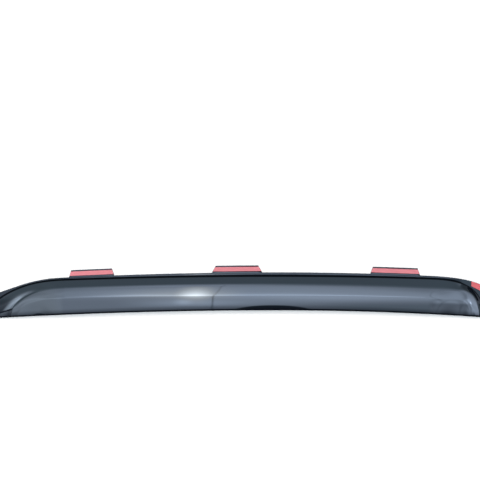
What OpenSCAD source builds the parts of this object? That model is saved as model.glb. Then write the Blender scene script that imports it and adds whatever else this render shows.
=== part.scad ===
// Rain deflector for a rear door window, in-channel type, for a right-hand door.
// X points to the front of the car, Z up and -Y out of the car. The origin is the
// middle of the middle tab's tape, on the outer face of its release liner.

/* [Section at the crown] */
// Flange width, from its top edge down to the crease
flange_w = 5.7; // [4:0.1:8]
// Height of the steep wall, from the crease to the shoulder
wall_h = 10.9; // [8:0.1:14]
// Height of the upper face, from the shoulder to the style line
upper_h = 15.8; // [10:0.1:22]
// Height of the lower face, from the style line to the bottom edge
lower_h = 20.6; // [12:0.1:28]
// How far the shoulder stands out of the flange
shoulder_out = 10; // [6:0.1:14]
// How far the style line stands out past the shoulder
upper_out = 5.2; // [3:0.1:8]
// How far the bottom edge stands out past the style line
lower_out = 2.7; // [1:0.1:5]
// Height of the rounded bead along the flange
bead_h = 0.8; // [0.3:0.1:1.5]
// Thickness of the flange and its tabs
flange_t = 2; // [1.5:0.1:2.5]
// Thickness of the bulged shell
shell_t = 2.5; // [1.8:0.1:3]

/* [Arch] */
// Crown of the arch, along X from the middle tab
crown_x = 55; // [35:1:75]
// Arch radii of the flange edge, behind and ahead of the crown
edge_arch = [6020, 4760]; // [4000:10:12000]
// Arch radii of the crease
crease_arch = [8330, 6250]; // [4000:10:12000]
// Arch radii of the shoulder
shoulder_arch = [9600, 4350]; // [4000:10:12000]
// Arch radii of the style line
style_arch = [15600, 8300]; // [6000:10:20000]
// Arch radii of the bottom edge
bottom_arch = [6925, 4180]; // [4000:10:12000]
// Radius of the sideways bow that follows the door glass
bow_r = 6000; // [3000:100:12000]
// Distance from the middle tab at which the bow runs out straight
bow_run = 315; // [290:1:320]

/* [Rear end] */
// Tip of the rear tail, along X
tail_tip = -392; // [-410:1:-375]
// Length of the tail's rounded tip
tail_round = 42; // [20:1:60]
// Where the top edge starts to fall towards the tail
fall_start = -250; // [-265:1:-240]
// Where the fall reaches its full slope
fall_full = -305; // [-330:1:-290]
// Full slope of the fall
fall_slope = 0.28; // [0.15:0.01:0.35]
// Foot of the crease on the bottom edge
crease_rear = -353; // [-365:0.5:-345]
// Foot of the shoulder on the bottom edge
shoulder_rear = -318.5; // [-330:0.5:-310]
// How far the shoulder's foot stands out
rear_foot_out = 6.5; // [4:0.1:10]

/* [Front end] */
// Tip of the front flange, along X
front_tip = 372; // [362:1:385]
// Foot of the crease on the bottom edge
crease_front = 347; // [344:0.5:352]
// Foot of the shoulder on the bottom edge
shoulder_front = 340; // [334:0.5:341]
// How far the shoulder's foot stands out
front_foot_out = 8.5; // [5:0.1:11]

/* [Tabs] */
// Middle of each tab along X, from the rear
tab_x = [-203.7, 0, 221.7]; // [-230:0.1:230]
// Width of each tab where it leaves the flange
tab_base = [63.8, 70.7, 70]; // [50:0.1:80]
// Width of each tab along its top
tab_top = [57, 59.6, 62.6]; // [40:0.1:75]
// Height of the tabs above the flange
tab_h = 9.8; // [8:0.1:14]

/* [Tape] */
// Width of the tape strips
tape_w = 6; // [4:0.1:8]
// Thickness of the foam tape
tape_t = 1; // [0.6:0.1:1.6]
// Thickness of the release liner on the tape
liner_t = 0.15; // [0.1:0.05:0.3]
// Margin between a strip and the edge it is cut along
tape_inset = 0.3; // [0.1:0.1:1]
// Start and end of the rear end's strip, along X
rear_strip = [-380, -336]; // [-385:1:-330]
// Start and end of the front end's strip, along X
front_strip = [328.5, 360]; // [325:0.5:362]

/* [Hidden] */

// Heights of the five lines at the crown, set so that the middle tape lies on Z = 0.
edge_z = crown_x * crown_x / (2 * edge_arch[0]) - tab_h / 2;
crease_z = edge_z - flange_w;
shoulder_z = crease_z - wall_h;
style_z = shoulder_z - upper_h;
bottom_z = style_z - lower_h;

// Roundness of each line where it turns down to its foot: a high first value keeps it
// level for longer, and a high second value makes the turn squarer.
crease_turn = [[2.3, 1.6], [3.4, 2.2]];
shoulder_turn = [[2.4, 1.7], [9, 1.6]];
front_turn = [3, 2.9];

// The turns start just past the outer tabs, and the last rib ends inside the shoulder.
turn_gap = 5;
rear_start = tab_x[0] - tab_base[0] / 2 - turn_gap;
front_start = tab_x[2] + tab_base[2] / 2 + turn_gap;
face_rear = shoulder_rear + 28;
face_front = shoulder_front - 17;

station_step = 13;
turn_steps = 26;
bunching = [2, 2.6];
fan_ribs = 8;
tape_out = tape_t + liner_t;
strip_steps = 8;
bed_margin = 8;

// Share of the flange kept flat under its edge, and shares along wall and face that
// set the rows of the shell; the shoulder is rounded between wall_round and face_round.
root_share = 0.12;
wall_round = 0.8;
face_round = 0.15;
bead_rows = [0.25, 0.5, 0.75];
wall_rows = [0.3, 0.6];
round_rows = [0, 0.25, 0.5, 0.75, 1];
upper_rows = [0.35, 0.6, 0.8, 1];
lower_rows = [0.2, 0.4, 0.6, 0.8, 1];
upper_curl = 0.25;
lower_curl = 0.5;

function mix(a, b, f) = a + (b - a) * f;
function clamp(v) = min(1, max(0, v));
function smooth(f) = f * f * (3 - 2 * f);
function arch(x, z, radii) = z - pow(x - crown_x, 2) / (2 * (x < crown_x ? radii[0] : radii[1]));
function turn(t, shape) = 1 - pow(1 - pow(t, shape[0]), 1 / shape[1]);
function bottom(x) = arch(x, bottom_z, bottom_arch);

// Height of the flange's top edge: level arch, then the tail behind or the turn ahead.
function tail_fall(x) =
    let (run = fall_start - fall_full, past = fall_start - x)
    fall_slope * (past < 0 ? 0 : past < run ? past * past / (2 * run) : past - run / 2);
function tail_line(x) = arch(x, edge_z, edge_arch) - tail_fall(x);
function tail_end(x) =
    let (t = clamp((tail_tip + tail_round - x) / tail_round))
    (tail_line(tail_tip) - bottom(tail_tip)) * (1 - sqrt(1 - t * t));
function front_end(x) =
    let (t = clamp((x - front_start) / (front_tip - front_start)))
    (arch(front_tip, edge_z, edge_arch) - bottom(front_tip)) * turn(t, front_turn);
function edge(x) = tail_line(x) - tail_end(x) - front_end(x);

// Rise of the tabs above that edge, and the bow of the glass line, straight under each
// tab and under the strips at the ends so that the tape has a flat bed.
function tab_rise(x) =
    tab_h * max([for (i = [0 : 2])
        clamp((tab_base[i] / 2 - abs(x - tab_x[i])) / ((tab_base[i] - tab_top[i]) / 2))]);
function bow(x) =
    let (a = abs(x))
    (a < bow_run ? a * a / 2 : bow_run * (a - bow_run / 2)) / bow_r;
function chord(x, a, b) = mix(bow(a), bow(b), (x - a) / (b - a));
beds = concat(
    [for (i = [0 : 2]) [tab_x[i] - tab_base[i] / 2, tab_x[i] + tab_base[i] / 2]],
    [for (range = [rear_strip, front_strip]) [range[0] - bed_margin, range[1] + bed_margin]]
);
function bed(x) =
    let (hit = [for (range = beds) if (x >= range[0] && x <= range[1]) range])
    len(hit) == 0 ? bow(x) : chord(x, hit[0][0], hit[0][1]);
front_y = tape_out - bed(0);

// A station is [x, turn]: the turn runs from 0 to -1 round the rear end, or to 1 round
// the front. Ribs bunch up towards the ends, where the lines turn down.
function side(st) = st[1] < 0 ? 0 : 1;
function reach(st) = 1 - pow(1 - abs(st[1]), bunching[side(st)]);
function line_at(st, z, radii, ends, turns) =
    let (k = side(st), t = reach(st), x = mix(st[0], ends[k], t))
    [x, arch(x, z, radii) - turn(t, turns[k]) * (arch(ends[k], z, radii) - bottom(ends[k]))];
function edge_at(st) =
    let (x = mix(st[0], [tail_tip, front_tip][side(st)], reach(st)))
    [x, edge(x)];
function bottom_at(st) =
    let (x = mix(st[0], [face_rear, face_front][side(st)], reach(st)))
    [x, bottom(x)];
function foot_out(st) =
    mix(shoulder_out, [rear_foot_out, front_foot_out][side(st)], smooth(reach(st)));
function face_out(st) = mix(1, 0.55, smooth(reach(st)));
function bead(st) = bead_h * (1 - smooth(clamp(reach(st) * 1.6)));

// One rib of the shell's outer surface, from the flange edge to the bottom edge. Its
// corner points are [x, z, out], where out is how far the point stands out of the glass.
function up_curve(f, curl) = (1 + curl) * f - curl * f * f;
function soften(a, b, c, f) = (1 - f) * (1 - f) * a + 2 * f * (1 - f) * b + f * f * c;
function raise(p, out) = [p[0], p[1], out];
function rib(st) =
    let (
        e = edge_at(st),
        c = line_at(st, crease_z, crease_arch, [crease_rear, crease_front], crease_turn),
        s = line_at(st, shoulder_z, shoulder_arch, [shoulder_rear, shoulder_front],
                    shoulder_turn),
        b = bottom_at(st),
        share = (arch(st[0], shoulder_z, shoulder_arch) - arch(st[0], style_z, style_arch))
            / (arch(st[0], shoulder_z, shoulder_arch) - bottom(st[0])),
        k = mix(s, b, share),
        so = foot_out(st),
        ko = so + upper_out * face_out(st),
        bo = ko + lower_out * face_out(st),
        root = mix(e, c, root_share),
        w = raise(mix(c, s, wall_round), so * wall_round),
        f = raise(mix(s, k, face_round), mix(so, ko, up_curve(face_round, upper_curl)))
    )
    concat(
        [[e[0], e[1] + (st[1] == 0 ? tab_rise(st[0]) : 0), 0]],
        [raise(root, 0)],
        [for (r = bead_rows) raise(mix(root, c, r), bead(st) * sin(180 * r))],
        [raise(c, 0)],
        [for (r = wall_rows) raise(mix(c, s, r), so * r)],
        [for (r = round_rows) soften(w, raise(s, so), f, r)],
        [for (r = upper_rows) raise(mix(s, k, r), mix(so, ko, up_curve(r, upper_curl)))],
        [for (r = lower_rows) raise(mix(k, b, r), mix(ko, bo, up_curve(r, lower_curl)))]
    );
flat_rows = 2;
flange_rows = len(bead_rows) + 3;

// Stations from the tail to the front, with one on each corner of each tab.
function span(a, b) =
    let (n = ceil((b - a) / station_step))
    [for (i = [0 : n - 1]) mix(a, b, i / n)];
knots = concat([rear_start],
    [for (i = [0 : 2], w = [-tab_base[i], -tab_top[i], tab_top[i], tab_base[i]]) tab_x[i] + w / 2],
    [front_start]);
stations = concat(
    [for (i = [0 : turn_steps - 1]) [rear_start, i / turn_steps - 1]],
    [for (i = [0 : len(knots) - 2], x = span(knots[i], knots[i + 1])) [x, 0]],
    [for (i = [0 : turn_steps]) [front_start, i / turn_steps]]
);

// The outer surface in space, and the inner one, offset from it along its normals. The
// bead follows the bow, except round the ends, where the whole flange has a straight bed.
function place(p, on_bed) = [p[0], front_y + (on_bed ? bed(p[0]) : bow(p[0])) - p[2], p[1]];
outer = [for (st = stations)
    let (r = rib(st), rows = st[1] == 0 ? flat_rows : flange_rows - 1)
    [for (j = [0 : len(r) - 1]) place(r[j], j < rows)]];
ni = len(outer);
nj = len(outer[0]);
function unit(v) = v / norm(v);
function slope(i, j) =
    unit(cross(outer[i][min(j + 1, nj - 1)] - outer[i][max(j - 1, 0)],
               outer[min(i + 1, ni - 1)][j] - outer[max(i - 1, 0)][j])) * -1;
// The end ribs fan out from one stretch of the bottom edge, and share its normal there.
function inward(i, j) = slope(j < nj - 1 ? i : min(max(i, fan_ribs), ni - 1 - fan_ribs), j);
function wall_t(j) =
    j < flange_rows - 1 ? flange_t
        : j < flange_rows ? (flange_t + shell_t) / 2
        : shell_t;
inner = [for (i = [0 : ni - 1]) [for (j = [0 : nj - 1]) outer[i][j] + inward(i, j) * wall_t(j)]];

// Faces: both grids as triangles, and the rim that joins them all the way round.
function at(i, j, side) = (side * ni + i) * nj + j;
function flip(tri, side) = side == 0 ? tri : [tri[2], tri[1], tri[0]];
grid_faces = [for (side = [0, 1], i = [0 : ni - 2], j = [0 : nj - 2], half = [0, 1])
    let (a = at(i, j, side), b = at(i + 1, j, side), c = at(i + 1, j + 1, side),
         d = at(i, j + 1, side))
    flip(i < ni / 2 ? (half == 0 ? [a, b, d] : [b, c, d])
                    : (half == 0 ? [a, b, c] : [a, c, d]), side)];
rim = concat(
    [for (i = [0 : ni - 2]) [i, 0]],
    [for (j = [0 : nj - 2]) [ni - 1, j]],
    [for (i = [ni - 1 : -1 : 1]) [i, nj - 1]],
    [for (j = [nj - 1 : -1 : 1]) [0, j]]
);
rim_faces = [for (k = [0 : len(rim) - 1], half = [0, 1])
    let (p = rim[k], q = rim[(k + 1) % len(rim)],
         a = at(p[0], p[1], 0), b = at(q[0], q[1], 0),
         c = at(q[0], q[1], 1), d = at(p[0], p[1], 1))
    half == 0 ? [a, d, b] : [b, d, c]];

// The moulded shell, in one piece with its flange and tabs.
module visor() {
    color([0.2, 0.22, 0.26])
        polyhedron(
            points = [for (grid = [outer, inner], column = grid, p = column) p],
            faces = concat(grid_faces, rim_faces)
        );
}

// A flat strip on the flange between a and b, drawn as [x, z] points, thick mm deep and
// lifted off the flange.
module strip(a, b, outline, thick, lift) {
    yaw = atan2(bed(b) - bed(a), b - a);
    translate([a, front_y + bed(a), 0])
        rotate([0, 0, yaw])
            rotate([90, 0, 0])
                translate([0, 0, lift])
                    linear_extrude(thick)
                        polygon([for (p = outline) [(p[0] - a) / cos(yaw), p[1]]]);
}

// Outline of the tape on a tab, cut to the tab's slanted sides.
function tab_side(i, h, side) =
    tab_x[i] + side * (mix(tab_base[i], tab_top[i], h / tab_h) / 2 - tape_inset);
function tab_outline(i) = [
    for (corner = [[-1, -1], [1, -1], [1, 1], [-1, 1]])
        let (h = (tab_h + corner[1] * tape_w) / 2, x = tab_side(i, h, corner[0]))
        [x, edge(x) + h]
];

// Outline of the tape at an end: its top follows the flange edge, its ends are slanted.
function end_outline(range) =
    let (
        tops = [for (i = [0 : strip_steps])
            let (x = mix(range[0], range[1], i / strip_steps)) [x, edge(x) - tape_inset]],
        first = tops[0],
        last = tops[strip_steps],
        along = unit(last - first),
        down = tape_w * [along[1], -along[0]]
    )
    concat(tops, [last + down - along * tape_w / 2, first + down + along * tape_w / 2]);

module tab_strip(i, thick, lift) {
    strip(tab_x[i] - tab_base[i] / 2, tab_x[i] + tab_base[i] / 2, tab_outline(i), thick, lift);
}

module end_strip(range, thick, lift) {
    strip(range[0], range[1], end_outline(range), thick, lift);
}

module tape_rear_tab() {
    color([0.13, 0.13, 0.14])
        tab_strip(0, tape_t, 0);
}

module tape_middle_tab() {
    color([0.13, 0.13, 0.14])
        tab_strip(1, tape_t, 0);
}

module tape_front_tab() {
    color([0.13, 0.13, 0.14])
        tab_strip(2, tape_t, 0);
}

module tape_rear_end() {
    color([0.13, 0.13, 0.14])
        end_strip(rear_strip, tape_t, 0);
}

module tape_front_end() {
    color([0.13, 0.13, 0.14])
        end_strip(front_strip, tape_t, 0);
}

module liner_rear_tab() {
    color([0.93, 0.53, 0.57])
        tab_strip(0, liner_t, tape_t);
}

module liner_middle_tab() {
    color([0.93, 0.53, 0.57])
        tab_strip(1, liner_t, tape_t);
}

module liner_front_tab() {
    color([0.93, 0.53, 0.57])
        tab_strip(2, liner_t, tape_t);
}

module liner_rear_end() {
    color([0.91, 0.38, 0.42])
        end_strip(rear_strip, liner_t, tape_t);
}

module liner_front_end() {
    color([0.91, 0.38, 0.42])
        end_strip(front_strip, liner_t, tape_t);
}

visor();
tape_rear_tab();
tape_middle_tab();
tape_front_tab();
tape_rear_end();
tape_front_end();
liner_rear_tab();
liner_middle_tab();
liner_front_tab();
liner_rear_end();
liner_front_end();
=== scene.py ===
import math

import bpy
import numpy as np
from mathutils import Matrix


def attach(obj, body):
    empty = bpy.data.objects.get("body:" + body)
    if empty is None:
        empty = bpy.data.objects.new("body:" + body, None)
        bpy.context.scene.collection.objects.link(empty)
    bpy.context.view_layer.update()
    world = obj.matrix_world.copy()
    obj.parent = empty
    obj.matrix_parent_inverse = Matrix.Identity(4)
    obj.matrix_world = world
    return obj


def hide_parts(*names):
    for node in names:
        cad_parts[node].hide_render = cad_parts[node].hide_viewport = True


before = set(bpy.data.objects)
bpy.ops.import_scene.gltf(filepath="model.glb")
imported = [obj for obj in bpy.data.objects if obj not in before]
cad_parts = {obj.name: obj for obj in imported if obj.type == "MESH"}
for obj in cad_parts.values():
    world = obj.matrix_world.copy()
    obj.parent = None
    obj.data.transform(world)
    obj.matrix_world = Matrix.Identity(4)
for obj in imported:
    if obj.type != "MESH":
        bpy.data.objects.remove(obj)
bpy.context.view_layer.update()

MM = 0.001

# The shell's lines, in millimetres, as the CAD model has them: X runs along the visor
# to the front, Z up, and "out" is how far a point stands out of the glass.
CROWN_X = 55
FLANGE_W, WALL_H, UPPER_H, LOWER_H = 5.7, 10.9, 15.8, 20.6
SHOULDER_OUT, UPPER_OUT, LOWER_OUT = 10, 5.2, 2.7
BEAD_H, FLANGE_T, SHELL_T = 0.8, 2, 2.5
EDGE_ARCH = (6020, 4760)
CREASE_ARCH = (8330, 6250)
SHOULDER_ARCH = (9600, 4350)
STYLE_ARCH = (15600, 8300)
BOTTOM_ARCH = (6925, 4180)
BOW_R, BOW_RUN = 6000, 315
TAIL_TIP, TAIL_ROUND = -392, 42
FALL_START, FALL_FULL, FALL_SLOPE = -250, -305, 0.28
FRONT_TIP = 372
CREASE_ENDS = (-353, 347)
SHOULDER_ENDS = (-318.5, 340)
FACE_INSET = (28, 17)
FACE_ENDS = (SHOULDER_ENDS[0] + FACE_INSET[0], SHOULDER_ENDS[1] - FACE_INSET[1])
FOOT_OUT = (6.5, 8.5)
TAB_X = (-203.7, 0, 221.7)
TAB_BASE = (63.8, 70.7, 70)
TAB_TOP = (57, 59.6, 62.6)
TAB_H = 9.8
TAPE_OUT = 1.15

CREASE_TURN = ((2.3, 1.6), (3.4, 2.2))
SHOULDER_TURN = ((2.4, 1.7), (9, 1.6))
FRONT_TURN = (3, 2.9)
TURN_GAP = 5
REAR_START = TAB_X[0] - TAB_BASE[0] / 2 - TURN_GAP
FRONT_START = TAB_X[2] + TAB_BASE[2] / 2 + TURN_GAP
BUNCHING = (2, 2.6)
ROOT_SHARE, WALL_ROUND, FACE_ROUND = 0.12, 0.8, 0.15
UPPER_CURL, LOWER_CURL = 0.25, 0.5
FACE_FADE = 0.55
BEAD_FADE = 0.625

EDGE_Z = CROWN_X ** 2 / (2 * EDGE_ARCH[0]) - TAB_H / 2
CREASE_Z = EDGE_Z - FLANGE_W
SHOULDER_Z = CREASE_Z - WALL_H
STYLE_Z = SHOULDER_Z - UPPER_H
BOTTOM_Z = STYLE_Z - LOWER_H

# Swage along the rear wall: (share of the wall's height, share of the shoulder's standing
# out), and the part of the rear turn over which it starts.
SWAGE = ((0, 0), (0.58, 0.05), (0.92, -0.05), (1, 0))
SWAGE_ROUND = (0.42, 0.25)

# Fineness of the visual mesh, and the rounding of its rim in millimetres.
STATION_STEP = 2
TURN_STEPS = 110
RIM_R = 0.3
EDGE_STEPS = (0, 0.08, 0.18, 0.3)
FLAT_SHARES = (0.4, 0.75, 1)
BEAD_ROWS, WALL_ROWS, ROUND_ROWS, UPPER_ROWS, LOWER_ROWS = 12, 12, 14, 14, 14
FLAT_ROWS = len(EDGE_STEPS) + len(FLAT_SHARES)
FLANGE_ROWS = FLAT_ROWS + BEAD_ROWS
# Next to each end, over this share of the turn, the rim along the bottom edge keeps the
# direction of its thickness, because the ribs run together there.
FAN = 8 / 26

# Gloss relative to the plain face, into which the shell's light and shade are painted. Pairs named
# ROUND, X, UP, FADE or REACH are the start and the run of ease().
# The wall round the rear end, by the share of its height from the crease down: painted shade (less
# gloss), then a painted highlight streak (more gloss) along its shoulder.
SHADE_DOWN = ((0, 0.5, 0.56, 0.6, 0.667, 0.72), (0.27, 0.26, 0.22, 0.34, 0.7, 1))
SHADE_ROUND = (0.68, 0.25)
STREAK_DOWN = ((0.62, 0.74, 0.8, 0.86, 0.95), (1, 1.8, 2.15, 2, 1))
STREAK_ROUND, STREAK_FADE, STREAK_LEFT = (0.68, 0.13), (0.85, 0.1), 0.5
# The toe of the tail, set off by a painted dark line of shade given by a place on X, the line's
# height there above the bottom edge, its slope and its half width. Below the line the toe's gloss
# is painted light and shade.
TOE_X = (-313, -3)
TOE_LINE, TOE_LINE_HALF = (-332, 7, 0.26), 1.6
TOE_GLOSS, TOE_FADE = (1.1, 0.4), (-334, 16)
# The painted highlight spot on the front end, and the painted shade (less gloss) of the lower face
# before it, under a line given by a place on X, its height there, its slope and how much lower it
# starts.
GLEAM_AT, GLEAM_HALF, GLEAM_GAIN = (322, -45.5), (7, 5), 0.4
LOWER_X = ((267, 10), (328, -9))
LOWER_LINE, LOWER_DROP = (284, -44.8, -0.06), ((266, 278, 292), (1.5, 1.3, 0))
LOWER_BLEND, LOWER_GLOSS = 4.6, 0.47
# The fold under the crease at the front end, with painted shade (less gloss), and the flange
# there, with a painted highlight (more gloss).
FOLD_X, FOLD_REACH, FOLD_UP = (310, 8), (8, -3.5), (-38, 8)
FOLD_TOP, FOLD_LEAST, FOLD_GLOSS, FRONT_FLANGE_GLOSS = -1, 0.4, 0.35, 2
# The painted black shade in the crease is this much narrower at the front end.
NARROW_X, NARROW_BY = (310, 15), 1.7


def mix(a, b, f):
    return a + (b - a) * f


def smooth(f):
    return f * f * (3 - 2 * f)


def ease(value, start, run):
    """Goes smoothly from 0 at the start to 1 after the run, which may be negative."""
    return smooth(np.clip((value - start) / run, 0, 1))


def arch(x, z, radii):
    return z - (x - CROWN_X) ** 2 / (2 * np.where(x < CROWN_X, radii[0], radii[1]))


def turn(t, shape):
    return 1 - (1 - t ** shape[0]) ** (1 / shape[1])


def bottom(x):
    return arch(x, BOTTOM_Z, BOTTOM_ARCH)


def tail_line(x):
    run = FALL_START - FALL_FULL
    past = np.maximum(FALL_START - x, 0)
    fall = np.where(past < run, past ** 2 / (2 * run), past - run / 2)
    return arch(x, EDGE_Z, EDGE_ARCH) - FALL_SLOPE * fall


def edge(x):
    """Height of the flange's top edge, without the tabs."""
    tail = np.clip((TAIL_TIP + TAIL_ROUND - x) / TAIL_ROUND, 0, 1)
    tail_drop = tail_line(TAIL_TIP) - bottom(TAIL_TIP)
    front = np.clip((x - FRONT_START) / (FRONT_TIP - FRONT_START), 0, 1)
    front_drop = arch(FRONT_TIP, EDGE_Z, EDGE_ARCH) - bottom(FRONT_TIP)
    return (tail_line(x) - tail_drop * (1 - np.sqrt(1 - tail ** 2))
            - front_drop * turn(front, FRONT_TURN))


def tab_rise(x):
    rise = np.zeros_like(x)
    for mid, base, top in zip(TAB_X, TAB_BASE, TAB_TOP):
        side = (base / 2 - abs(x - mid)) / ((base - top) / 2)
        rise = np.maximum(rise, TAB_H * np.clip(side, 0, 1))
    return rise


def bow(x):
    """How far the glass line curves inboard."""
    a = abs(x)
    return np.where(a < BOW_RUN, a * a / 2, BOW_RUN * (a - BOW_RUN / 2)) / BOW_R


def bed(x):
    """The bow, straight under each tab."""
    y = bow(x)
    for mid, base in zip(TAB_X, TAB_BASE):
        a, b = mid - base / 2, mid + base / 2
        y = np.where((x >= a) & (x <= b), mix(bow(a), bow(b), (x - a) / (b - a)), y)
    return y


FRONT_Y = TAPE_OUT - float(bed(0))


def stations():
    """One station for each rib of the shell: where it starts along X, and its turn, which
    runs from -1 at the rear end through 0 along the arch to 1 at the front end."""
    corners = sorted(mid + side * w / 2 for mid, base, top in zip(TAB_X, TAB_BASE, TAB_TOP)
                     for w in (base, top) for side in (-1, 1))
    knots = [REAR_START, *corners, FRONT_START]
    xs = [REAR_START] * TURN_STEPS
    turns = [k / TURN_STEPS - 1 for k in range(TURN_STEPS)]
    for a, b in zip(knots[:-1], knots[1:]):
        n = math.ceil((b - a) / STATION_STEP)
        xs += [mix(a, b, k / n) for k in range(n)]
        turns += [0] * n
    xs += [FRONT_START] * (TURN_STEPS + 1)
    turns += [k / TURN_STEPS for k in range(TURN_STEPS + 1)]
    return np.array(xs, float), np.array(turns, float)


def wall_shares():
    """How far each row of the wall and its rounded shoulder lies between the two lines."""
    flat = np.linspace(0, WALL_ROUND, WALL_ROWS + 1)[1:]
    bend = np.linspace(0, 1, ROUND_ROWS + 1)[1:]
    return [*flat, *(WALL_ROUND * (1 - bend) ** 2 + 2 * bend * (1 - bend) + bend * bend)]


def swage(r):
    """Shallow swage along the rear wall: a little out at 0.6 of its height, then in."""
    for (a, low), (b, high) in zip(SWAGE[:-1], SWAGE[1:]):
        if r <= b:
            return mix(low, high, smooth((r - a) / (b - a)))
    return 0


def shell_rows(x0, turns):
    """The outer surface, as rows of (x, z, out) arrays from the top edge to the bottom."""
    rear = turns < 0
    t = 1 - (1 - abs(turns)) ** np.where(rear, BUNCHING[0], BUNCHING[1])

    def pick(pair):
        return np.where(rear, pair[0], pair[1])

    def line(z, radii, ends, shapes):
        end = pick(ends)
        x = mix(x0, end, t)
        fall = np.where(rear, turn(t, shapes[0]), turn(t, shapes[1]))
        return np.array([x, arch(x, z, radii) - fall * (arch(end, z, radii) - bottom(end))])

    def lift(point, out):
        return np.array([point[0], point[1], out + np.zeros_like(t)])

    top_x = mix(x0, pick((TAIL_TIP, FRONT_TIP)), t)
    e = np.array([top_x, edge(top_x)])
    c = line(CREASE_Z, CREASE_ARCH, CREASE_ENDS, CREASE_TURN)
    s = line(SHOULDER_Z, SHOULDER_ARCH, SHOULDER_ENDS, SHOULDER_TURN)
    foot_x = mix(x0, pick(FACE_ENDS), t)
    b = np.array([foot_x, bottom(foot_x)])
    upper = arch(x0, SHOULDER_Z, SHOULDER_ARCH) - arch(x0, STYLE_Z, STYLE_ARCH)
    k = mix(s, b, upper / (arch(x0, SHOULDER_Z, SHOULDER_ARCH) - bottom(x0)))
    fade = mix(1, FACE_FADE, smooth(t))
    so = mix(SHOULDER_OUT, pick(FOOT_OUT), smooth(t))
    ko = so + UPPER_OUT * fade
    bo = ko + LOWER_OUT * fade
    bead = BEAD_H * (1 - ease(t, 0, BEAD_FADE))
    root = mix(e, c, ROOT_SHARE)
    top = e + np.array([np.zeros_like(t), np.where(turns == 0, tab_rise(x0), 0)])
    height = np.hypot(*(top - root))

    def curve(f, curl):
        return (1 + curl) * f - curl * f * f

    rows = [lift(mix(top, root, d / height), 0) for d in EDGE_STEPS]
    rows += [lift(mix(top, root, mix(EDGE_STEPS[-1] / height, 1, r)), 0) for r in FLAT_SHARES]
    rows += [lift(mix(root, c, r), bead * np.sin(math.pi * r))
             for r in np.linspace(0, 1, BEAD_ROWS + 1)[1:]]
    rows += [lift(mix(c, s, r), so * r) for r in np.linspace(0, WALL_ROUND, WALL_ROWS + 1)[1:]]
    w = lift(mix(c, s, WALL_ROUND), so * WALL_ROUND)
    f = lift(mix(s, k, FACE_ROUND), mix(so, ko, curve(FACE_ROUND, UPPER_CURL)))
    m = lift(s, so)
    rows += [(1 - r) ** 2 * w + 2 * r * (1 - r) * m + r * r * f
             for r in np.linspace(0, 1, ROUND_ROWS + 1)[1:]]
    strength = np.where(rear, so * ease(t, *SWAGE_ROUND), 0)
    for row, share in zip(rows[FLANGE_ROWS:], wall_shares()):
        row[2] += strength * swage(share)
    rows += [lift(mix(s, k, r), mix(so, ko, curve(r, UPPER_CURL)))
             for r in np.linspace(FACE_ROUND, 1, UPPER_ROWS + 1)[1:]]
    length = np.hypot(*(k - b))
    steps = [*np.linspace(0, 1, LOWER_ROWS + 1)[1:-1]]
    steps += [1 - d / length for d in reversed(EDGE_STEPS)]
    rows += [lift(mix(k, b, r), mix(ko, bo, curve(r, LOWER_CURL))) for r in steps]
    return np.array(rows).transpose(2, 0, 1)


def painted_sheen_and_shade(x, z, turns, below_crease):
    """Gloss relative to the plain face, with light and shade painted into it. Round the rear end
    the wall has painted shade, down to a painted highlight streak along its shoulder, and a
    painted dark line sets off the toe.
    At the front end the face has a painted highlight spot and painted shade in its lower part, the
    fold under the crease has painted shade, and the flange a painted highlight."""
    share = np.concatenate([np.zeros(FLANGE_ROWS), wall_shares()])
    share = np.concatenate([share, np.full(x.shape[1] - len(share), 1.0)])
    t = np.where(turns < 0, 1 - (1 + turns) ** BUNCHING[0], 0)[:, None]
    streak = ease(t, *STREAK_ROUND) * mix(1, STREAK_LEFT, ease(t, *STREAK_FADE))
    gloss = mix(1, np.interp(share, *SHADE_DOWN), ease(t, *SHADE_ROUND))
    gloss = gloss * mix(1, np.interp(share, *STREAK_DOWN), streak)

    line_x, line_up, slope = TOE_LINE
    over = z - bottom(x) - (line_up + (x - line_x) * slope)
    toe = ease(x, *TOE_X) * (share < 1)
    gloss = mix(gloss, mix(*TOE_GLOSS, ease(x, *TOE_FADE)), toe * ease(over, 0.5, -1))
    gloss = gloss * (1 - toe * ease(abs(over), TOE_LINE_HALF, -1))

    away = [(v - at) / half for v, at, half in zip((x, z), GLEAM_AT, GLEAM_HALF)]
    gloss = gloss * (1 + GLEAM_GAIN * smooth(np.clip(1 - away[0] ** 2 - away[1] ** 2, 0, 1)))
    line_x, line_z, slope = LOWER_LINE
    line = line_z + (x - line_x) * slope - np.interp(x, *LOWER_DROP)
    lower = ease(x, *LOWER_X[0]) * ease(x, *LOWER_X[1]) * ease(z, line, -LOWER_BLEND)
    gloss = gloss * LOWER_GLOSS ** lower

    at_front = ease(x, *FOLD_X)
    fold = at_front * ease(below_crease, *FOLD_REACH) * mix(FOLD_LEAST, 1, ease(z, *FOLD_UP))
    return gloss * np.where(below_crease > FOLD_TOP, mix(1, FOLD_GLOSS, fold),
                            mix(1, FRONT_FLANGE_GLOSS, at_front))


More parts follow.
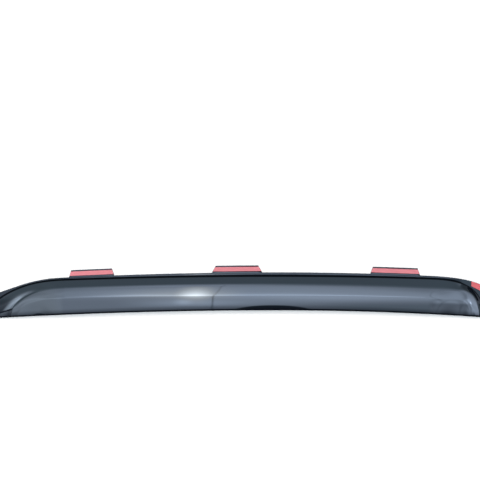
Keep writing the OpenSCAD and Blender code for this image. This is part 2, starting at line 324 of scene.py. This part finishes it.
def shell_grids():
    """Outer and inner surface as grids of points in millimetres, and for each point how far
    it lies above the bottom edge and below the crease, and its gloss with painted highlight and
    shade."""
    x0, turns = stations()
    rows = shell_rows(x0, turns)
    x, z, out = rows[:, :, 0], rows[:, :, 1], rows[:, :, 2]
    flat = np.arange(rows.shape[1]) < FLAT_ROWS
    outer = np.stack([x, FRONT_Y + np.where(flat, bed(x), bow(x)) - out, z], 2)
    ni, nj = outer.shape[:2]
    ahead = outer[np.minimum(np.arange(ni) + 1, ni - 1)] - outer[np.maximum(np.arange(ni) - 1, 0)]
    down = (outer[:, np.minimum(np.arange(nj) + 1, nj - 1)]
            - outer[:, np.maximum(np.arange(nj) - 1, 0)])
    inward = -np.cross(down, ahead)
    inward /= np.linalg.norm(inward, axis=2, keepdims=True)
    fan = int(TURN_STEPS * FAN)
    near_bottom = np.clip(np.arange(ni), fan, ni - 1 - fan)
    inward[:, -len(EDGE_STEPS):] = inward[near_bottom, -len(EDGE_STEPS):]
    wall = np.where(np.arange(nj) < FLANGE_ROWS - 1, FLANGE_T, SHELL_T)[None, :, None]
    to_rim = np.minimum.reduce([
        np.linalg.norm(outer - outer[:, :1], axis=2),
        np.linalg.norm(outer - outer[:, -1:], axis=2),
        np.linalg.norm(outer - outer[:1], axis=2),
        np.linalg.norm(outer - outer[-1:], axis=2)])
    d = np.minimum(to_rim, RIM_R)
    round_off = (RIM_R - np.sqrt(RIM_R ** 2 - (RIM_R - d) ** 2))[:, :, None]
    crease = np.stack([x, z], 2)[:, FLANGE_ROWS - 1]
    gaps = [np.hypot(x[:, j, None] - crease[:, 0], z[:, j, None] - crease[:, 1]).min(1)
            for j in range(nj)]
    to_crease = np.stack(gaps, 1)
    to_crease[:, :FLANGE_ROWS - 1] *= -1
    narrow = mix(1, NARROW_BY, ease(x, *NARROW_X))
    fields = {"to_bottom": z - bottom(x), "to_crease": to_crease * narrow,
              "painted_sheen_and_shade": painted_sheen_and_shade(x, z, turns, to_crease)}
    return outer + inward * round_off, outer + inward * (wall - round_off), fields


def shell_mesh():
    outer, inner, fields = shell_grids()
    ni, nj = outer.shape[:2]
    index = np.arange(2 * ni * nj).reshape(2, ni, nj)
    a, b = index[0, :-1, :-1], index[0, 1:, :-1]
    c, d = index[0, 1:, 1:], index[0, :-1, 1:]
    front = np.stack([d, c, b, a], 2).reshape(-1, 4)
    back = np.stack([a, b, c, d], 2).reshape(-1, 4) + ni * nj
    rim = np.concatenate([index[0, :-1, 0], index[0, -1, :-1], index[0, :0:-1, -1],
                          index[0, 0, :0:-1]])
    after = np.roll(rim, -1)
    sides = np.stack([after, after + ni * nj, rim + ni * nj, rim], 1)
    mesh = bpy.data.meshes.new("visor_shell")
    points = np.concatenate([outer.reshape(-1, 3), inner.reshape(-1, 3)]) * MM
    faces = np.concatenate([front, back, sides])
    mesh.from_pydata(points.tolist(), [], faces.tolist())
    mesh.shade_smooth()
    for name, values in fields.items():
        attribute = mesh.attributes.new(name, "FLOAT", "POINT")
        attribute.data.foreach_set("value", np.concatenate([values.ravel()] * 2))
    mesh.update()
    return mesh


class Graph:
    """A material's node tree, with short calls to add and join nodes."""

    def __init__(self, name):
        self.material = bpy.data.materials.new(name)
        self.material.use_nodes = True
        self.tree = self.material.node_tree
        self.tree.nodes.clear()
        self.output = self.tree.nodes.new("ShaderNodeOutputMaterial")

    def node(self, kind, inputs=None, **settings):
        made = self.tree.nodes.new(kind)
        for key, value in settings.items():
            setattr(made, key, value)
        for key, value in (inputs or {}).items():
            self.join(value, made.inputs[key])
        return made

    def join(self, value, socket):
        if isinstance(value, bpy.types.NodeSocket):
            self.tree.links.new(value, socket)
        else:
            socket.default_value = value

    def ramp(self, value, stops):
        made = self.node("ShaderNodeValToRGB", {"Fac": value})
        elements = made.color_ramp.elements
        while len(elements) < len(stops):
            elements.new(0.5)
        for element, (position, color) in zip(elements, stops):
            element.position = position
            element.color = (*color, 1)
        return made.outputs["Color"]

    def math(self, operation, a, b=0.0):
        return self.node("ShaderNodeMath", {0: a, 1: b}, operation=operation).outputs[0]

    def times(self, value, *others):
        for other in others:
            value = self.math("MULTIPLY", value, other)
        return value

    def mix(self, factor, a, b):
        return self.node("ShaderNodeMix", {"Factor": factor, 2: a, 3: b}).outputs[0]

    def blend(self, factor, a, b, how="MIX"):
        return self.node("ShaderNodeMix", {0: factor, 6: a, 7: b}, data_type="RGBA",
                         blend_type=how).outputs[2]

    def step(self, value, low, high):
        """Goes smoothly from 0 at low to 1 at high, which may be the lower one."""
        return self.node("ShaderNodeMapRange", {"Value": value, "From Min": low, "From Max": high},
                         interpolation_type="SMOOTHSTEP").outputs[0]

    def within(self, value, *edges):
        """The steps over all the edges, multiplied."""
        return self.times(*[self.step(value, *edge) for edge in edges])

    def fall(self, value, centre, wide):
        """Falls smoothly from 1 at the centre to 0 at the half width."""
        off = self.math("ABSOLUTE", self.math("SUBTRACT", value, centre))
        return self.step(off, wide, 0)

    def curve(self, value, stops, reach, top):
        """Runs through the (value, result) stops: the values lie in the reach, and the
        results between 0 and the top."""
        low, length = reach[0], reach[1] - reach[0]
        grays = [((a - low) / length, [b / top] * 3) for a, b in stops]
        share = self.math("DIVIDE", self.math("SUBTRACT", value, low), length)
        return self.times(self.ramp(share, grays), top)

    def noise(self, scale, detail=2, stretch=(1, 1, 1)):
        place = self.node("ShaderNodeTexCoord").outputs["Object"]
        grid = self.node("ShaderNodeMapping", {"Vector": place, "Scale": stretch})
        made = self.node("ShaderNodeTexNoise", {"Vector": grid.outputs[0], "Scale": scale,
                                                "Detail": detail})
        return made.outputs["Fac"]

    def finish(self, shader):
        self.tree.links.new(shader, self.output.inputs["Surface"])
        return self.material


def srgb(*levels):
    """Linear colour of an 8-bit sRGB one."""
    return [(v / 255 / 12.92 if v <= 10 else ((v / 255 + 0.055) / 1.055) ** 2.4) for v in levels]


SMOKE = (0.006, 0.008, 0.013)
SMOKE_TINT = (0.65, 0.82, 1.0)
SHADE_BLACK = (0.002, 0.003, 0.005)
# In millimetres below the crease or above the bottom edge, as edges (0 at, 1 at): where the
# painted shade in the crease is black, and where the black rim of painted shade and the zones of
# painted shade (less gloss) end.
CREASE_SHADE = ((-2.3, -1.7), (1.0, 0.5))
RIM_END, SHADED_FOOT_END, SHADED_FLANGE_END = (1.9, 2.8), (2, 9), (-1.2, 0)
GLOSS, SHADED_GLOSS_SHARE, BLACK_GLOSS = 0.5, 0.45, 0.02


def smoked_acrylic():
    """Dark smoked acrylic, polished. Painted shade makes it black along the bottom edge and in the
    crease, and gives it less gloss on the flange and just above the bottom edge."""
    g = Graph("smoked_acrylic")
    to_bottom = g.node("ShaderNodeAttribute", attribute_name="to_bottom").outputs["Fac"]
    below_crease = g.node("ShaderNodeAttribute", attribute_name="to_crease").outputs["Fac"]
    # The shell's gloss map, with painted highlight and shade.
    sheen_and_shade = g.node("ShaderNodeAttribute", attribute_name="painted_sheen_and_shade").outputs["Fac"]
    # Painted shade: the crease and the rim along the bottom edge are black and almost without
    # gloss.
    crease_shade = g.within(below_crease, *CREASE_SHADE)
    clear = g.times(g.step(to_bottom, *RIM_END), g.math("SUBTRACT", 1.0, crease_shade))
    base = g.ramp(clear, [(0, SHADE_BLACK), (1, SMOKE)])
    # Painted shade: less gloss on the flange and just above the bottom edge, times the shell's
    # gloss map of painted highlight and shade.
    shaded_gloss = g.times(g.mix(g.step(to_bottom, *SHADED_FOOT_END), SHADED_GLOSS_SHARE, 1.0),
                   g.mix(g.step(below_crease, *SHADED_FLANGE_END), SHADED_GLOSS_SHARE, 1.0), sheen_and_shade)
    gloss = g.mix(clear, BLACK_GLOSS, g.times(shaded_gloss, GLOSS))
    shader = g.node("ShaderNodeBsdfPrincipled", {
        "Base Color": base, "Roughness": 0.02, "IOR": 1.55,
        "Specular IOR Level": gloss, "Specular Tint": (*SMOKE_TINT, 1)})
    return g.finish(shader.outputs["BSDF"])


def liner_film(name, color):
    """Red release film: a slight sheen, and faint creases across the strip."""
    g = Graph(name)
    tone = g.noise(scale=60, detail=3, stretch=(1, 1, 4))
    base = g.ramp(tone, [(0.3, [v * 0.9 for v in color]), (0.7, color)])
    height = g.noise(scale=220, stretch=(1, 1, 0.4))
    bump = g.node("ShaderNodeBump", {"Height": height, "Strength": 0.15, "Distance": 0.0003})
    shader = g.node("ShaderNodeBsdfPrincipled", {
        "Base Color": base, "Roughness": 0.38, "IOR": 1.45, "Normal": bump.outputs[0]})
    return g.finish(shader.outputs["BSDF"])


def foam():
    """Black acrylic foam, matt and faintly grained."""
    g = Graph("foam_tape")
    grain = g.noise(scale=1800, detail=3)
    base = g.ramp(grain, [(0.3, (0.012, 0.012, 0.014)), (0.7, (0.03, 0.03, 0.034))])
    bump = g.node("ShaderNodeBump", {"Height": grain, "Strength": 0.3, "Distance": 0.0002})
    shader = g.node("ShaderNodeBsdfPrincipled", {
        "Base Color": base, "Roughness": 0.85, "Normal": bump.outputs[0]})
    return g.finish(shader.outputs["BSDF"])


def new_object(name, mesh, material):
    made = bpy.data.objects.new(name, mesh)
    mesh.materials.clear()
    mesh.materials.append(material)
    bpy.context.scene.collection.objects.link(made)
    return made


def dress():
    """The visual shell takes the CAD visor's place; tapes and liners get their materials."""
    shell = new_object("visor_shell", shell_mesh(), smoked_acrylic())
    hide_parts("visor")
    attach(shell, "root")
    tab_film = liner_film("release_liner_tabs", srgb(233, 124, 133))
    end_film = liner_film("release_liner_ends", srgb(226, 84, 92))
    tape = foam()
    for name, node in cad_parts.items():
        if name.startswith("tape_"):
            node.data.materials.clear()
            node.data.materials.append(tape)
        if name.startswith("liner_"):
            node.data.materials.clear()
            node.data.materials.append(tab_film if name.endswith("_tab") else end_film)
            # The wall next to the front liner shows no red reflection of it.
            node.visible_glossy = False


# The camera looks along +Y, square on: the photo's frame is 480 pixels of 1.4 mm, and the
# origin lies at (237, 269) in it.
PIXEL = 1.4 * MM
FRAME_PX, ORIGIN_PX = 480, (237, 269)
FRAME_W = FRAME_PX * PIXEL
VIEW_X = (FRAME_PX / 2 - ORIGIN_PX[0]) * PIXEL
VIEW_Z = (ORIGIN_PX[1] - FRAME_PX / 2) * PIXEL
LENS, SENSOR = 400, 36
CLIP = (0.1, 60)
CAMERA_Y = -FRAME_W * LENS / SENSOR


def add_camera():
    data = bpy.data.cameras.new("camera")
    data.lens, data.sensor_width = LENS, SENSOR
    data.clip_start, data.clip_end = CLIP
    camera = bpy.data.objects.new("camera", data)
    camera.location = (VIEW_X, CAMERA_Y, VIEW_Z)
    camera.rotation_euler = (math.pi / 2, 0, 0)
    bpy.context.scene.collection.objects.link(camera)
    bpy.context.scene.camera = camera


def plane_mesh(name, corners):
    mesh = bpy.data.meshes.new(name)
    mesh.from_pydata([tuple(c) for c in corners], [], [(0, 1, 2, 3)])
    mesh.update()
    return mesh


def only_seen_by(thing, camera=False, glossy=False):
    thing.visible_camera = camera
    thing.visible_glossy = glossy
    thing.visible_diffuse = False
    thing.visible_transmission = camera
    thing.visible_volume_scatter = False
    thing.visible_shadow = False


# SHADE is how bright the wall is in full shadow, and LIT how bright outside it. The sun's
# elevation and spread are in degrees.
WALL_Y, WALL_HALF, WALL_ALBEDO = 0.018, 3, 0.1
SHADE, LIT = (0.6, 0.635, 0.67), 1.01
SUN_ELEVATION, SUN_SPREAD = 7.2, 10


def add_wall():
    """A white wall close behind the visor, with two suns of its own: one that gives the
    level in the shadow, and a low one that casts the soft shadow under the visor."""
    corners = [(x * WALL_HALF, WALL_Y, z * WALL_HALF)
               for x, z in ((-1, -1), (1, -1), (1, 1), (-1, 1))]
    g = Graph("wall_white")
    white = g.node("ShaderNodeBsdfDiffuse", {"Color": (*[WALL_ALBEDO] * 3, 1)})
    clear = g.node("ShaderNodeBsdfTransparent")
    behind = g.node("ShaderNodeNewGeometry").outputs["Backfacing"]
    both = g.node("ShaderNodeMixShader", {0: behind, 1: white.outputs[0], 2: clear.outputs[0]})
    wall = new_object("wall", plane_mesh("wall", corners), g.finish(both.outputs[0]))
    only_seen_by(wall, camera=True)
    lit = bpy.data.collections.new("wall_only")
    lit.objects.link(wall)
    for name, color, shadow, elevation in (
            ("wall_fill", SHADE, False, 0),
            ("wall_sun", [LIT - v for v in SHADE], True, SUN_ELEVATION)):
        lamp = bpy.data.lights.new(name, "SUN")
        lamp.energy = math.pi / WALL_ALBEDO
        lamp.color = color
        lamp.angle = math.radians(SUN_SPREAD)
        lamp.use_shadow = shadow
        sun = bpy.data.objects.new(name, lamp)
        sun.rotation_euler = (math.radians(90 - elevation), 0, 0)
        bpy.context.scene.collection.objects.link(sun)
        sun.light_linking.receiver_collection = lit


SKY, SKY_LEVEL = (0.8, 0.91, 0.95), 0.7


def add_world():
    """White to the camera and bluish otherwise. It is at strength 1 where it is seen or
    mirrored, and dimmer as a light."""
    world = bpy.data.worlds.new("studio")
    world.use_nodes = True
    tree = world.node_tree
    tree.nodes.clear()
    output = tree.nodes.new("ShaderNodeOutputWorld")
    background = tree.nodes.new("ShaderNodeBackground")
    path = tree.nodes.new("ShaderNodeLightPath")
    seen = path.outputs["Is Camera Ray"]
    for name in ("Is Glossy Ray", "Is Transmission Ray"):
        add = tree.nodes.new("ShaderNodeMath")
        add.operation = "MAXIMUM"
        tree.links.new(seen, add.inputs[0])
        tree.links.new(path.outputs[name], add.inputs[1])
        seen = add.outputs[0]
    level = tree.nodes.new("ShaderNodeMapRange")
    level.inputs["To Min"].default_value = SKY_LEVEL
    level.inputs["To Max"].default_value = 1
    tree.links.new(seen, level.inputs["Value"])
    tree.links.new(level.outputs[0], background.inputs["Strength"])
    color = tree.nodes.new("ShaderNodeMix")
    color.data_type = "RGBA"
    color.inputs["A"].default_value = (*SKY, 1)
    color.inputs["B"].default_value = (1, 1, 1, 1)
    tree.links.new(path.outputs["Is Camera Ray"], color.inputs["Factor"])
    tree.links.new(color.outputs["Result"], background.inputs["Color"])
    tree.links.new(background.outputs[0], output.inputs["Surface"])
    bpy.context.scene.world = world


# The softbox is a sheet bent round the X axis, so that a height on it is an elevation as
# the visor sees it. Each list runs through (elevation in degrees, brightness): MIDDLE in
# front of the visor, AHEAD below the highlight strip from there on, FRONT past its front.
SHEET_R, SHEET_X, SHEET_UP, SHEET_STRIPS = 3.0, (-6, 9), (-6, 89), 95
SHEET_CENTRE = (0, -0.01, -0.035)
BRIGHTEST = 12
MIDDLE = ((0, 3.2), (5, 3.4), (9, 3.5), (12, 3.5), (14, 3.6), (17, 4.2), (20, 5.3), (23, 5.8),
          (24.6, 7.2), (25.8, 11.8), (28, 9), (30.5, 6.4), (33, 5.6), (39, 5), (43, 4), (47, 3.3),
          (57, 2.6), (64, 1.9), (76, 1.3), (84, 1.1))
AHEAD = ((0, 1.7), (6, 1.9), (9, 2.3), (12, 2.4), (14, 2.9), (16, 4), (18, 5.4), (20, 6.1))
FRONT = ((0, 1.8), (3, 2.6), (5, 5), (6, 6.4), (9, 7), (12, 6.4), (15, 6), (18.5, 6.8),
         (21, 6.2), (24, 5.2), (27, 4.6), (33, 4.2), (43, 3.9), (61, 3.3), (76, 2.8), (84, 2.4))
# From here on an edge is (0 at, 1 at), in metres along X or in degrees of elevation. AHEAD
# takes over from MIDDLE over the first two, and lies NEARER_BY degrees lower towards the
# front. Behind the visor's middle, MIDDLE lies RAISED_BY degrees higher.
AHEAD_X, AHEAD_UNDER = (0.05, 0.5), (22, 20)
NEARER_X, NEARER_BY = (1.12, 1.5), 6
RAISED_X, RAISED_UNDER, RAISED_BY = (-0.2, -0.35), (40, 30), 2
# The sheet's upper rear corner is rounded: (metres along X, degrees that its top comes
# down by).
CORNER = ((-2.3, 36), (-2.14, 27), (-2.06, 23), (-1.96, 20), (-1.7, 15), (-1.4, 10), (-1.05, 7),
          (-0.75, 2.5), (-0.5, 0))
CORNER_OVER = (14, 30)
# The highlight strip is capped on both sides of the visor's middle: at the front, at the
# rear, at the far rear, and high up at the rear.
SIDES = ((-0.35, -0.7), (0.5, 0.8))
CAP_FRONT, CAP_REAR, CAP_FAR, CAP_HIGH = 5.7, 5.3, 4.6, 4.4
CAP_FRONT_X, CAP_FAR_X, CAP_HIGH_OVER = (-0.4, 0.4), (-1, -1.4), (23, 27)
# The rear is brighter, apart from a band in it. Other patches that are brighter or dimmer
# are (edges along X, edges in elevation, gain).
REAR_X, REAR_GAIN = (-0.7, -1.1), 1.15
BAND, BAND_GAIN = ((24, 27), (39, 33)), 0.97
PATCHES = ((((-1.7, -2),), ((25, 20),), 0.74),
           (((-0.25, 0.2), (0.65, 0.2)), ((11, 15), (24, 22)), 1.2),
           (((-0.7, -0.2), (0.3, -0.2)), ((42, 50), (80, 66)), 1.55))
# Low down before FRONT the sheet is plain, because the shell's gloss shades that part.
PLAIN_X, PLAIN_UNDER, PLAIN_LEVEL = (0.88, 1.22), (17, 14), 5.3
# Where FRONT starts along X and the run until it is full, each low down and high up, and
# how much further on it starts at the very top.
FRONT_FROM, FRONT_RUN, FRONT_OVER = (1.41, 1.0), (0.14, 0.6), (20, 60)
TOP_OVER, TOP_BY = (70, 84), 0.2
# The hot spot has a narrow core in a wider halo; SPOT is its brightness in elevation.
SPOT_X, SPOT_LEVEL, SPOT_COLOR = -0.15, 22, (1, 0.87, 0.76)
SPOT_CORE, SPOT_HALO, CORE_SHARE = ((-0.08, 0), (0.075, 0)), ((-0.4, 0), (0.2, 0)), 0.78
SPOT = ((12, 0), (16, 0.06), (18, 0.16), (20, 0.34), (22, 0.46), (24, 0.66), (25.5, 1), (28, 1),
        (31, 0.7), (34, 0.48), (37, 0.3), (42, 0.08), (47, 0))
# Small glints: (metres along X, elevation, half sizes, brightness).
GLINTS = ((-0.16, 14, 0.3, 5.5, 2.4), (-0.192, 15, 0.045, 4, 2), (1.95, 16.6, 0.22, 2.2, 12),
          (1.62, 9, 0.25, 2.5, 3.5))
# Seams run through (elevation, metres along X), and each ends with its half width and how
# much it darkens. The first two are one thin seam, which is darker low down.
SEAMS = (((9, -0.092), (18, -0.089), (27, -0.085), (35, -0.073), (53, -0.055), 0.005, 0.36),
         ((9, -0.092), (18, -0.089), (22, -0.087), 0.005, 0.4),
         ((12, 1.27), (16, 1.13), (23, 1), (31, 0.94), (36, 0.87), 0.035, 0.26),
         ((21, 1.5), (24, 1.45), (28, 1.35), (32, 1.25), (36, 1.15), (43, 1.05), 0.2, 0.36))
SEAM_FADE, SEAM_SHIFT, SEAM_REACH = 12, 1, 3
# A flag before the sheet gives the dark crescent at the bottom edge.
FLAG_AT, FLAG_SIZE, FLAG_EDGE, FLAG_LEVEL = (0.118, 5), (0.142, 6.7), (0.85, 1.1), 0.04
# Tints: of the dim parts and of the rest, of the rear, and how the spot's share warms them.
DIM_TINT, SHEET_TINT, TINT_STOPS = (0.8, 0.91, 0.96), (1, 0.985, 1.05), (0.1, 0.25)
REAR_TINT, REAR_TINT_X = (1, 0.985, 0.93), (-0.4, -1.8)
WARMING = ((0, 0), (0.4, 0.75), (1, 1))


def level(g, height, stops):
    return g.curve(height, stops, (0, 90), BRIGHTEST)


def sheet_lists(g, x, height):
    """Brightness by MIDDLE and AHEAD, with the rounded corner and the capped strip."""
    corner = g.curve(x, CORNER, (CORNER[0][0], CORNER[-1][0]), CORNER[0][1])
    lowered = g.math("ADD", height, g.times(corner, g.step(height, *CORNER_OVER)))
    raised = g.times(g.step(x, *RAISED_X), g.step(height, *RAISED_UNDER), RAISED_BY)
    lowered = g.math("SUBTRACT", lowered, raised)
    nearer = g.math("ADD", height, g.times(g.step(x, *NEARER_X), NEARER_BY))
    ahead = g.times(g.step(x, *AHEAD_X), g.step(height, *AHEAD_UNDER))
    glow = g.mix(ahead, level(g, lowered, MIDDLE), level(g, nearer, AHEAD))
    sides = g.math("MAXIMUM", g.step(x, *SIDES[0]), g.step(x, *SIDES[1]))
    rear = g.mix(g.step(x, *CAP_FAR_X), CAP_REAR, CAP_FAR)
    rear = g.mix(g.step(height, *CAP_HIGH_OVER), rear, CAP_HIGH)
    cap = g.mix(g.step(x, *CAP_FRONT_X), rear, CAP_FRONT)
    return g.mix(sides, glow, g.math("MINIMUM", glow, cap))


def sheet_patches(g, x, height, glow):
    rear = g.mix(g.within(height, *BAND), REAR_GAIN, BAND_GAIN)
    glow = g.times(glow, g.mix(g.step(x, *REAR_X), 1.0, rear))
    for x_edges, height_edges, gain in PATCHES:
        patch = g.times(g.within(x, *x_edges), g.within(height, *height_edges))
        glow = g.times(glow, g.mix(patch, 1.0, gain))
    return glow


def sheet_front(g, x, height, glow):
    plain = g.times(g.step(x, *PLAIN_X), g.step(height, *PLAIN_UNDER))
    glow = g.times(glow, g.math("POWER", g.math("DIVIDE", PLAIN_LEVEL, glow), plain))
    upper = g.step(height, *FRONT_OVER)
    start = g.mix(upper, *FRONT_FROM)
    full = g.math("ADD", start, g.mix(upper, *FRONT_RUN))
    past = g.math("SUBTRACT", x, g.times(g.step(height, *TOP_OVER), TOP_BY))
    return g.mix(g.step(past, start, full), glow, level(g, height, FRONT))


def sheet_spot(g, x, height):
    off = g.math("SUBTRACT", x, SPOT_X)
    spread = g.math("ADD", g.times(g.within(off, *SPOT_CORE), CORE_SHARE),
                    g.times(g.within(off, *SPOT_HALO), 1 - CORE_SHARE))
    return g.times(spread, level(g, height, SPOT), SPOT_LEVEL)


def sheet_darks(g, x, height, glow):
    for *line, wide, depth in SEAMS:
        stops = [(up, along + SEAM_SHIFT) for up, along in line]
        seam = g.math("SUBTRACT", g.curve(height, stops, (0, 90), SEAM_REACH), SEAM_SHIFT)
        end = line[-1][0]
        dark = g.times(g.fall(x, seam, wide), g.step(height, end + SEAM_FADE, end), depth)
        glow = g.times(glow, g.math("SUBTRACT", 1.0, dark))
    away = [g.math("DIVIDE", g.math("SUBTRACT", value, at), size)
            for value, at, size in zip((x, height), FLAG_AT, FLAG_SIZE)]
    away = g.math("ADD", g.times(away[0], away[0]), g.times(away[1], away[1]))
    return g.times(glow, g.mix(g.step(away, *FLAG_EDGE), FLAG_LEVEL, 1.0))


def softbox_glow():
    """Light of the sheet over its length (X) and elevation."""
    g = Graph("softbox")
    place = g.node("ShaderNodeTexCoord").outputs["Object"]
    x, y, z = g.node("ShaderNodeSeparateXYZ", {0: place}).outputs
    height = g.times(g.math("ARCTAN2", z, g.times(y, -1.0)), math.degrees(1))
    glow = sheet_patches(g, x, height, sheet_lists(g, x, height))
    glow = sheet_front(g, x, height, glow)
    for along, up, wide, tall, much in GLINTS:
        glint = g.times(g.fall(x, along, wide), g.fall(height, up, tall), much)
        glow = g.math("ADD", glow, glint)
    spot = sheet_spot(g, x, height)
    glow = sheet_darks(g, x, height, g.math("ADD", glow, spot))
    tint = g.ramp(g.math("DIVIDE", glow, BRIGHTEST),
                  [(TINT_STOPS[0], DIM_TINT), (TINT_STOPS[1], SHEET_TINT)])
    share = g.math("DIVIDE", spot, g.math("MAXIMUM", glow, 0.1))
    warm = g.ramp(share, [(at, [much] * 3) for at, much in WARMING])
    tint = g.blend(warm, tint, (*SPOT_COLOR, 1))
    rear = g.ramp(g.step(x, *REAR_TINT_X), [(0, (1, 1, 1)), (1, REAR_TINT)])
    tint = g.blend(1.0, tint, rear, "MULTIPLY")
    lamp = g.node("ShaderNodeEmission", {"Strength": glow, "Color": tint})
    return g.finish(lamp.outputs[0])


def add_softbox():
    up = np.radians(np.linspace(*SHEET_UP, SHEET_STRIPS + 1))
    points = [(x, -SHEET_R * math.cos(a), SHEET_R * math.sin(a)) for a in up for x in SHEET_X]
    faces = [(2 * k, 2 * k + 1, 2 * k + 3, 2 * k + 2) for k in range(len(up) - 1)]
    mesh = bpy.data.meshes.new("softbox")
    mesh.from_pydata(points, [], faces)
    sheet = new_object("softbox", mesh, softbox_glow())
    sheet.location = SHEET_CENTRE
    only_seen_by(sheet, glossy=True)


KEY_AT, KEY_SIZE, KEY_POWER = (-1.2, -2.6, 1.6), 1.2, 40


def add_lights():
    """The softbox for the gloss, and a disk lamp for the liners and tapes."""
    add_softbox()
    key = bpy.data.lights.new("key", "AREA")
    key.shape, key.size, key.energy = "DISK", KEY_SIZE, KEY_POWER
    lamp = bpy.data.objects.new("key", key)
    lamp.location = KEY_AT
    lamp.rotation_mode = "QUATERNION"
    lamp.rotation_quaternion = (-lamp.location).to_track_quat("-Z", "Y")
    lamp.visible_glossy = False
    bpy.context.scene.collection.objects.link(lamp)


dress()
add_camera()
add_wall()
add_world()
add_lights()
bpy.context.scene.view_settings.view_transform = "Standard"
